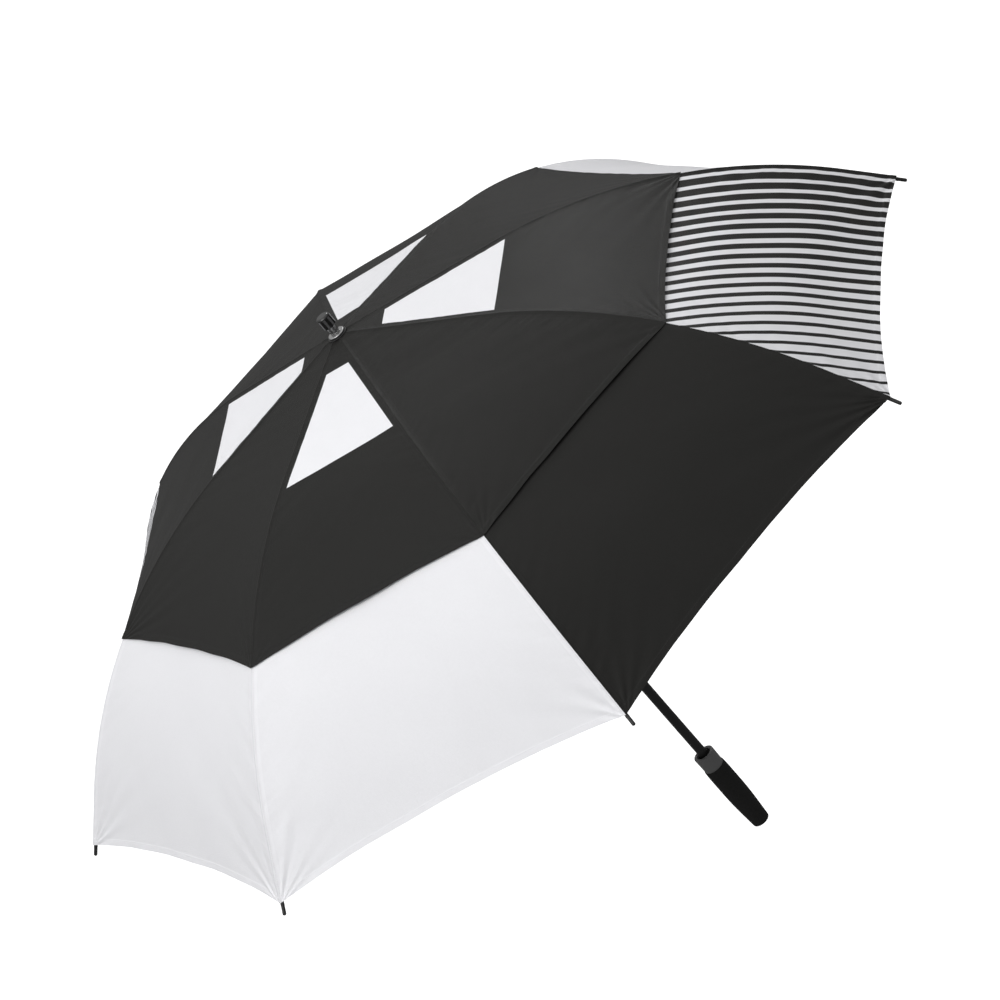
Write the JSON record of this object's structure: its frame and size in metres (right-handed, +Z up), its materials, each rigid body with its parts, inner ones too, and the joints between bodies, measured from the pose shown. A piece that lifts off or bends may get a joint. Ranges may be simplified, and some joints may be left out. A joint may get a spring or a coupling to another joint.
{
  "type": "golf umbrella",
  "caption": "Large open golf umbrella with a vented double canopy on a folding rib frame, a straight shaft, a sliding runner and a straight soft grip.",
  "frame": {"origin": "centre of the flat butt face of the handle", "axes": "+Z up the shaft from the handle to the ferrule, +X along rib 1; the other ribs follow clockwise seen from above"},
  "size_m": [1.4352, 1.4352, 1.012],
  "materials": {
    "shaft_black": "satin black lacquer",
    "grip_black": "matt foam rubber",
    "collar_grey": "satin grey moulding",
    "moulding_black": "matt black moulding",
    "cap_black": "gloss black moulding",
    "gunmetal": "dark polished plate",
    "rib_black": "pultruded glass-fibre rod, satin black",
    "strut_black": "black lacquered tube",
    "wire_steel": "bright wire",
    "clip_steel": "black clip with riveted pins",
    "cloth_white": "plain-woven coated cloth, white",
    "cloth_black": "plain-woven coated cloth, black",
    "cloth_striped": "plain-woven coated cloth, printed black stripes on white"
  },
  "bodies": {
    "shaft": {"shaft_tube": "shaft_black", "top_notch": "moulding_black", "notch_wire": "wire_steel", "rosette": "moulding_black", "ferrule_flange": "gunmetal", "ferrule_neck": "gunmetal", "ferrule_cap": "cap_black", "collar_cup": "collar_grey", "grip": "grip_black", "handle_core": "moulding_black", "butt_plug": "moulding_black", "top_catch": "wire_steel", "bottom_catch": "wire_steel", "main_canopy_white": "cloth_white", "main_canopy_black": "cloth_black", "main_canopy_striped": "cloth_striped", "vent_canopy": "cloth_black"},
    "runner": {"runner": "moulding_black", "runner_wire": "wire_steel"},
    "rib_1": {"rib_1": "rib_black", "strut_joint_1": "clip_steel"},
    "rib_end_1": {"rib_end_1": "rib_black", "rib_tip_1": "moulding_black"},
    "strut_1": {"strut_1": "strut_black"},
    "rib_2": {"rib_2": "rib_black", "strut_joint_2": "clip_steel"},
    "rib_end_2": {"rib_end_2": "rib_black", "rib_tip_2": "moulding_black"},
    "strut_2": {"strut_2": "strut_black"},
    "rib_3": {"rib_3": "rib_black", "strut_joint_3": "clip_steel"},
    "rib_end_3": {"rib_end_3": "rib_black", "rib_tip_3": "moulding_black"},
    "strut_3": {"strut_3": "strut_black"},
    "rib_4": {"rib_4": "rib_black", "strut_joint_4": "clip_steel"},
    "rib_end_4": {"rib_end_4": "rib_black", "rib_tip_4": "moulding_black"},
    "strut_4": {"strut_4": "strut_black"},
    "rib_5": {"rib_5": "rib_black", "strut_joint_5": "clip_steel"},
    "rib_end_5": {"rib_end_5": "rib_black", "rib_tip_5": "moulding_black"},
    "strut_5": {"strut_5": "strut_black"},
    "rib_6": {"rib_6": "rib_black", "strut_joint_6": "clip_steel"},
    "rib_end_6": {"rib_end_6": "rib_black", "rib_tip_6": "moulding_black"},
    "strut_6": {"strut_6": "strut_black"},
    "rib_7": {"rib_7": "rib_black", "strut_joint_7": "clip_steel"},
    "rib_end_7": {"rib_end_7": "rib_black", "rib_tip_7": "moulding_black"},
    "strut_7": {"strut_7": "strut_black"},
    "rib_8": {"rib_8": "rib_black", "strut_joint_8": "clip_steel"},
    "rib_end_8": {"rib_end_8": "rib_black", "rib_tip_8": "moulding_black"},
    "strut_8": {"strut_8": "strut_black"}
  },
  "joints": [
    {"name": "rib_1_fold", "type": "hinge", "parent": "shaft", "child": "rib_1", "pos_m": [0.012, 0, 0.972], "axis": [0, 1, 0], "range_deg": [0, 74], "deforming": ["main_canopy_white", "main_canopy_black", "main_canopy_striped", "vent_canopy", "top_catch", "bottom_catch"]},
    {"name": "rib_1_flex", "type": "hinge", "parent": "rib_1", "child": "rib_end_1", "pos_m": [0.38541, 0, 0.8863], "axis": [0, 1, 0], "range_deg": [-22.3, 0]},
    {"name": "strut_1_swing", "type": "hinge", "parent": "rib_1", "child": "strut_1", "pos_m": [0.38269, 0, 0.87985], "axis": [0, 1, 0], "range_deg": [-148.1, 0]},
    {"name": "rib_2_fold", "type": "hinge", "parent": "shaft", "child": "rib_2", "pos_m": [0.00849, -0.00849, 0.972], "axis": [0.7071, 0.7071, 0], "range_deg": [0, 74]},
    {"name": "rib_2_flex", "type": "hinge", "parent": "rib_2", "child": "rib_end_2", "pos_m": [0.27253, -0.27253, 0.8863], "axis": [0.7071, 0.7071, 0], "range_deg": [-22.3, 0]},
    {"name": "strut_2_swing", "type": "hinge", "parent": "rib_2", "child": "strut_2", "pos_m": [0.2706, -0.2706, 0.87985], "axis": [0.7071, 0.7071, 0], "range_deg": [-148.1, 0]},
    {"name": "rib_3_fold", "type": "hinge", "parent": "shaft", "child": "rib_3", "pos_m": [0, -0.012, 0.972], "axis": [1, 0, 0], "range_deg": [0, 74]},
    {"name": "rib_3_flex", "type": "hinge", "parent": "rib_3", "child": "rib_end_3", "pos_m": [0, -0.38541, 0.8863], "axis": [1, 0, 0], "range_deg": [-22.3, 0]},
    {"name": "strut_3_swing", "type": "hinge", "parent": "rib_3", "child": "strut_3", "pos_m": [0, -0.38269, 0.87985], "axis": [1, 0, 0], "range_deg": [-148.1, 0]},
    {"name": "rib_4_fold", "type": "hinge", "parent": "shaft", "child": "rib_4", "pos_m": [-0.00849, -0.00849, 0.972], "axis": [0.7071, -0.7071, 0], "range_deg": [0, 74]},
    {"name": "rib_4_flex", "type": "hinge", "parent": "rib_4", "child": "rib_end_4", "pos_m": [-0.27253, -0.27253, 0.8863], "axis": [0.7071, -0.7071, 0], "range_deg": [-22.3, 0]},
    {"name": "strut_4_swing", "type": "hinge", "parent": "rib_4", "child": "strut_4", "pos_m": [-0.2706, -0.2706, 0.87985], "axis": [0.7071, -0.7071, 0], "range_deg": [-148.1, 0]},
    {"name": "rib_5_fold", "type": "hinge", "parent": "shaft", "child": "rib_5", "pos_m": [-0.012, 0, 0.972], "axis": [0, -1, 0], "range_deg": [0, 74]},
    {"name": "rib_5_flex", "type": "hinge", "parent": "rib_5", "child": "rib_end_5", "pos_m": [-0.38541, 0, 0.8863], "axis": [0, -1, 0], "range_deg": [-22.3, 0]},
    {"name": "strut_5_swing", "type": "hinge", "parent": "rib_5", "child": "strut_5", "pos_m": [-0.38269, 0, 0.87985], "axis": [0, -1, 0], "range_deg": [-148.1, 0]},
    {"name": "rib_6_fold", "type": "hinge", "parent": "shaft", "child": "rib_6", "pos_m": [-0.00849, 0.00849, 0.972], "axis": [-0.7071, -0.7071, 0], "range_deg": [0, 74]},
    {"name": "rib_6_flex", "type": "hinge", "parent": "rib_6", "child": "rib_end_6", "pos_m": [-0.27253, 0.27253, 0.8863], "axis": [-0.7071, -0.7071, 0], "range_deg": [-22.3, 0]},
    {"name": "strut_6_swing", "type": "hinge", "parent": "rib_6", "child": "strut_6", "pos_m": [-0.2706, 0.2706, 0.87985], "axis": [-0.7071, -0.7071, 0], "range_deg": [-148.1, 0]},
    {"name": "rib_7_fold", "type": "hinge", "parent": "shaft", "child": "rib_7", "pos_m": [0, 0.012, 0.972], "axis": [-1, 0, 0], "range_deg": [0, 74]},
    {"name": "rib_7_flex", "type": "hinge", "parent": "rib_7", "child": "rib_end_7", "pos_m": [0, 0.38541, 0.8863], "axis": [-1, 0, 0], "range_deg": [-22.3, 0]},
    {"name": "strut_7_swing", "type": "hinge", "parent": "rib_7", "child": "strut_7", "pos_m": [0, 0.38269, 0.87985], "axis": [-1, 0, 0], "range_deg": [-148.1, 0]},
    {"name": "rib_8_fold", "type": "hinge", "parent": "shaft", "child": "rib_8", "pos_m": [0.00849, 0.00849, 0.972], "axis": [-0.7071, 0.7071, 0], "range_deg": [0, 74]},
    {"name": "rib_8_flex", "type": "hinge", "parent": "rib_8", "child": "rib_end_8", "pos_m": [0.27253, 0.27253, 0.8863], "axis": [-0.7071, 0.7071, 0], "range_deg": [-22.3, 0]},
    {"name": "strut_8_swing", "type": "hinge", "parent": "rib_8", "child": "strut_8", "pos_m": [0.2706, 0.2706, 0.87985], "axis": [-0.7071, 0.7071, 0], "range_deg": [-148.1, 0]},
    {"name": "runner_hinge", "type": "hinge", "parent": "strut_1", "child": "runner", "pos_m": [0.012, 0, 0.7877], "axis": [0, 1, 0], "range_deg": [0, 74.1]}
  ],
  "couplings": [
    {"joint": "rib_1_flex", "follows": "rib_1_fold", "ratio": -0.3},
    {"joint": "strut_1_swing", "follows": "rib_1_fold", "ratio": -2},
    {"joint": "rib_2_fold", "follows": "rib_1_fold", "ratio": 1},
    {"joint": "rib_2_flex", "follows": "rib_1_fold", "ratio": -0.3},
    {"joint": "strut_2_swing", "follows": "rib_1_fold", "ratio": -2},
    {"joint": "rib_3_fold", "follows": "rib_1_fold", "ratio": 1},
    {"joint": "rib_3_flex", "follows": "rib_1_fold", "ratio": -0.3},
    {"joint": "strut_3_swing", "follows": "rib_1_fold", "ratio": -2},
    {"joint": "rib_4_fold", "follows": "rib_1_fold", "ratio": 1},
    {"joint": "rib_4_flex", "follows": "rib_1_fold", "ratio": -0.3},
    {"joint": "strut_4_swing", "follows": "rib_1_fold", "ratio": -2},
    {"joint": "rib_5_fold", "follows": "rib_1_fold", "ratio": 1},
    {"joint": "rib_5_flex", "follows": "rib_1_fold", "ratio": -0.3},
    {"joint": "strut_5_swing", "follows": "rib_1_fold", "ratio": -2},
    {"joint": "rib_6_fold", "follows": "rib_1_fold", "ratio": 1},
    {"joint": "rib_6_flex", "follows": "rib_1_fold", "ratio": -0.3},
    {"joint": "strut_6_swing", "follows": "rib_1_fold", "ratio": -2},
    {"joint": "rib_7_fold", "follows": "rib_1_fold", "ratio": 1},
    {"joint": "rib_7_flex", "follows": "rib_1_fold", "ratio": -0.3},
    {"joint": "strut_7_swing", "follows": "rib_1_fold", "ratio": -2},
    {"joint": "rib_8_fold", "follows": "rib_1_fold", "ratio": 1},
    {"joint": "rib_8_flex", "follows": "rib_1_fold", "ratio": -0.3},
    {"joint": "strut_8_swing", "follows": "rib_1_fold", "ratio": -2},
    {"joint": "runner_hinge", "follows": "rib_1_fold", "ratio": 1}
  ]
}
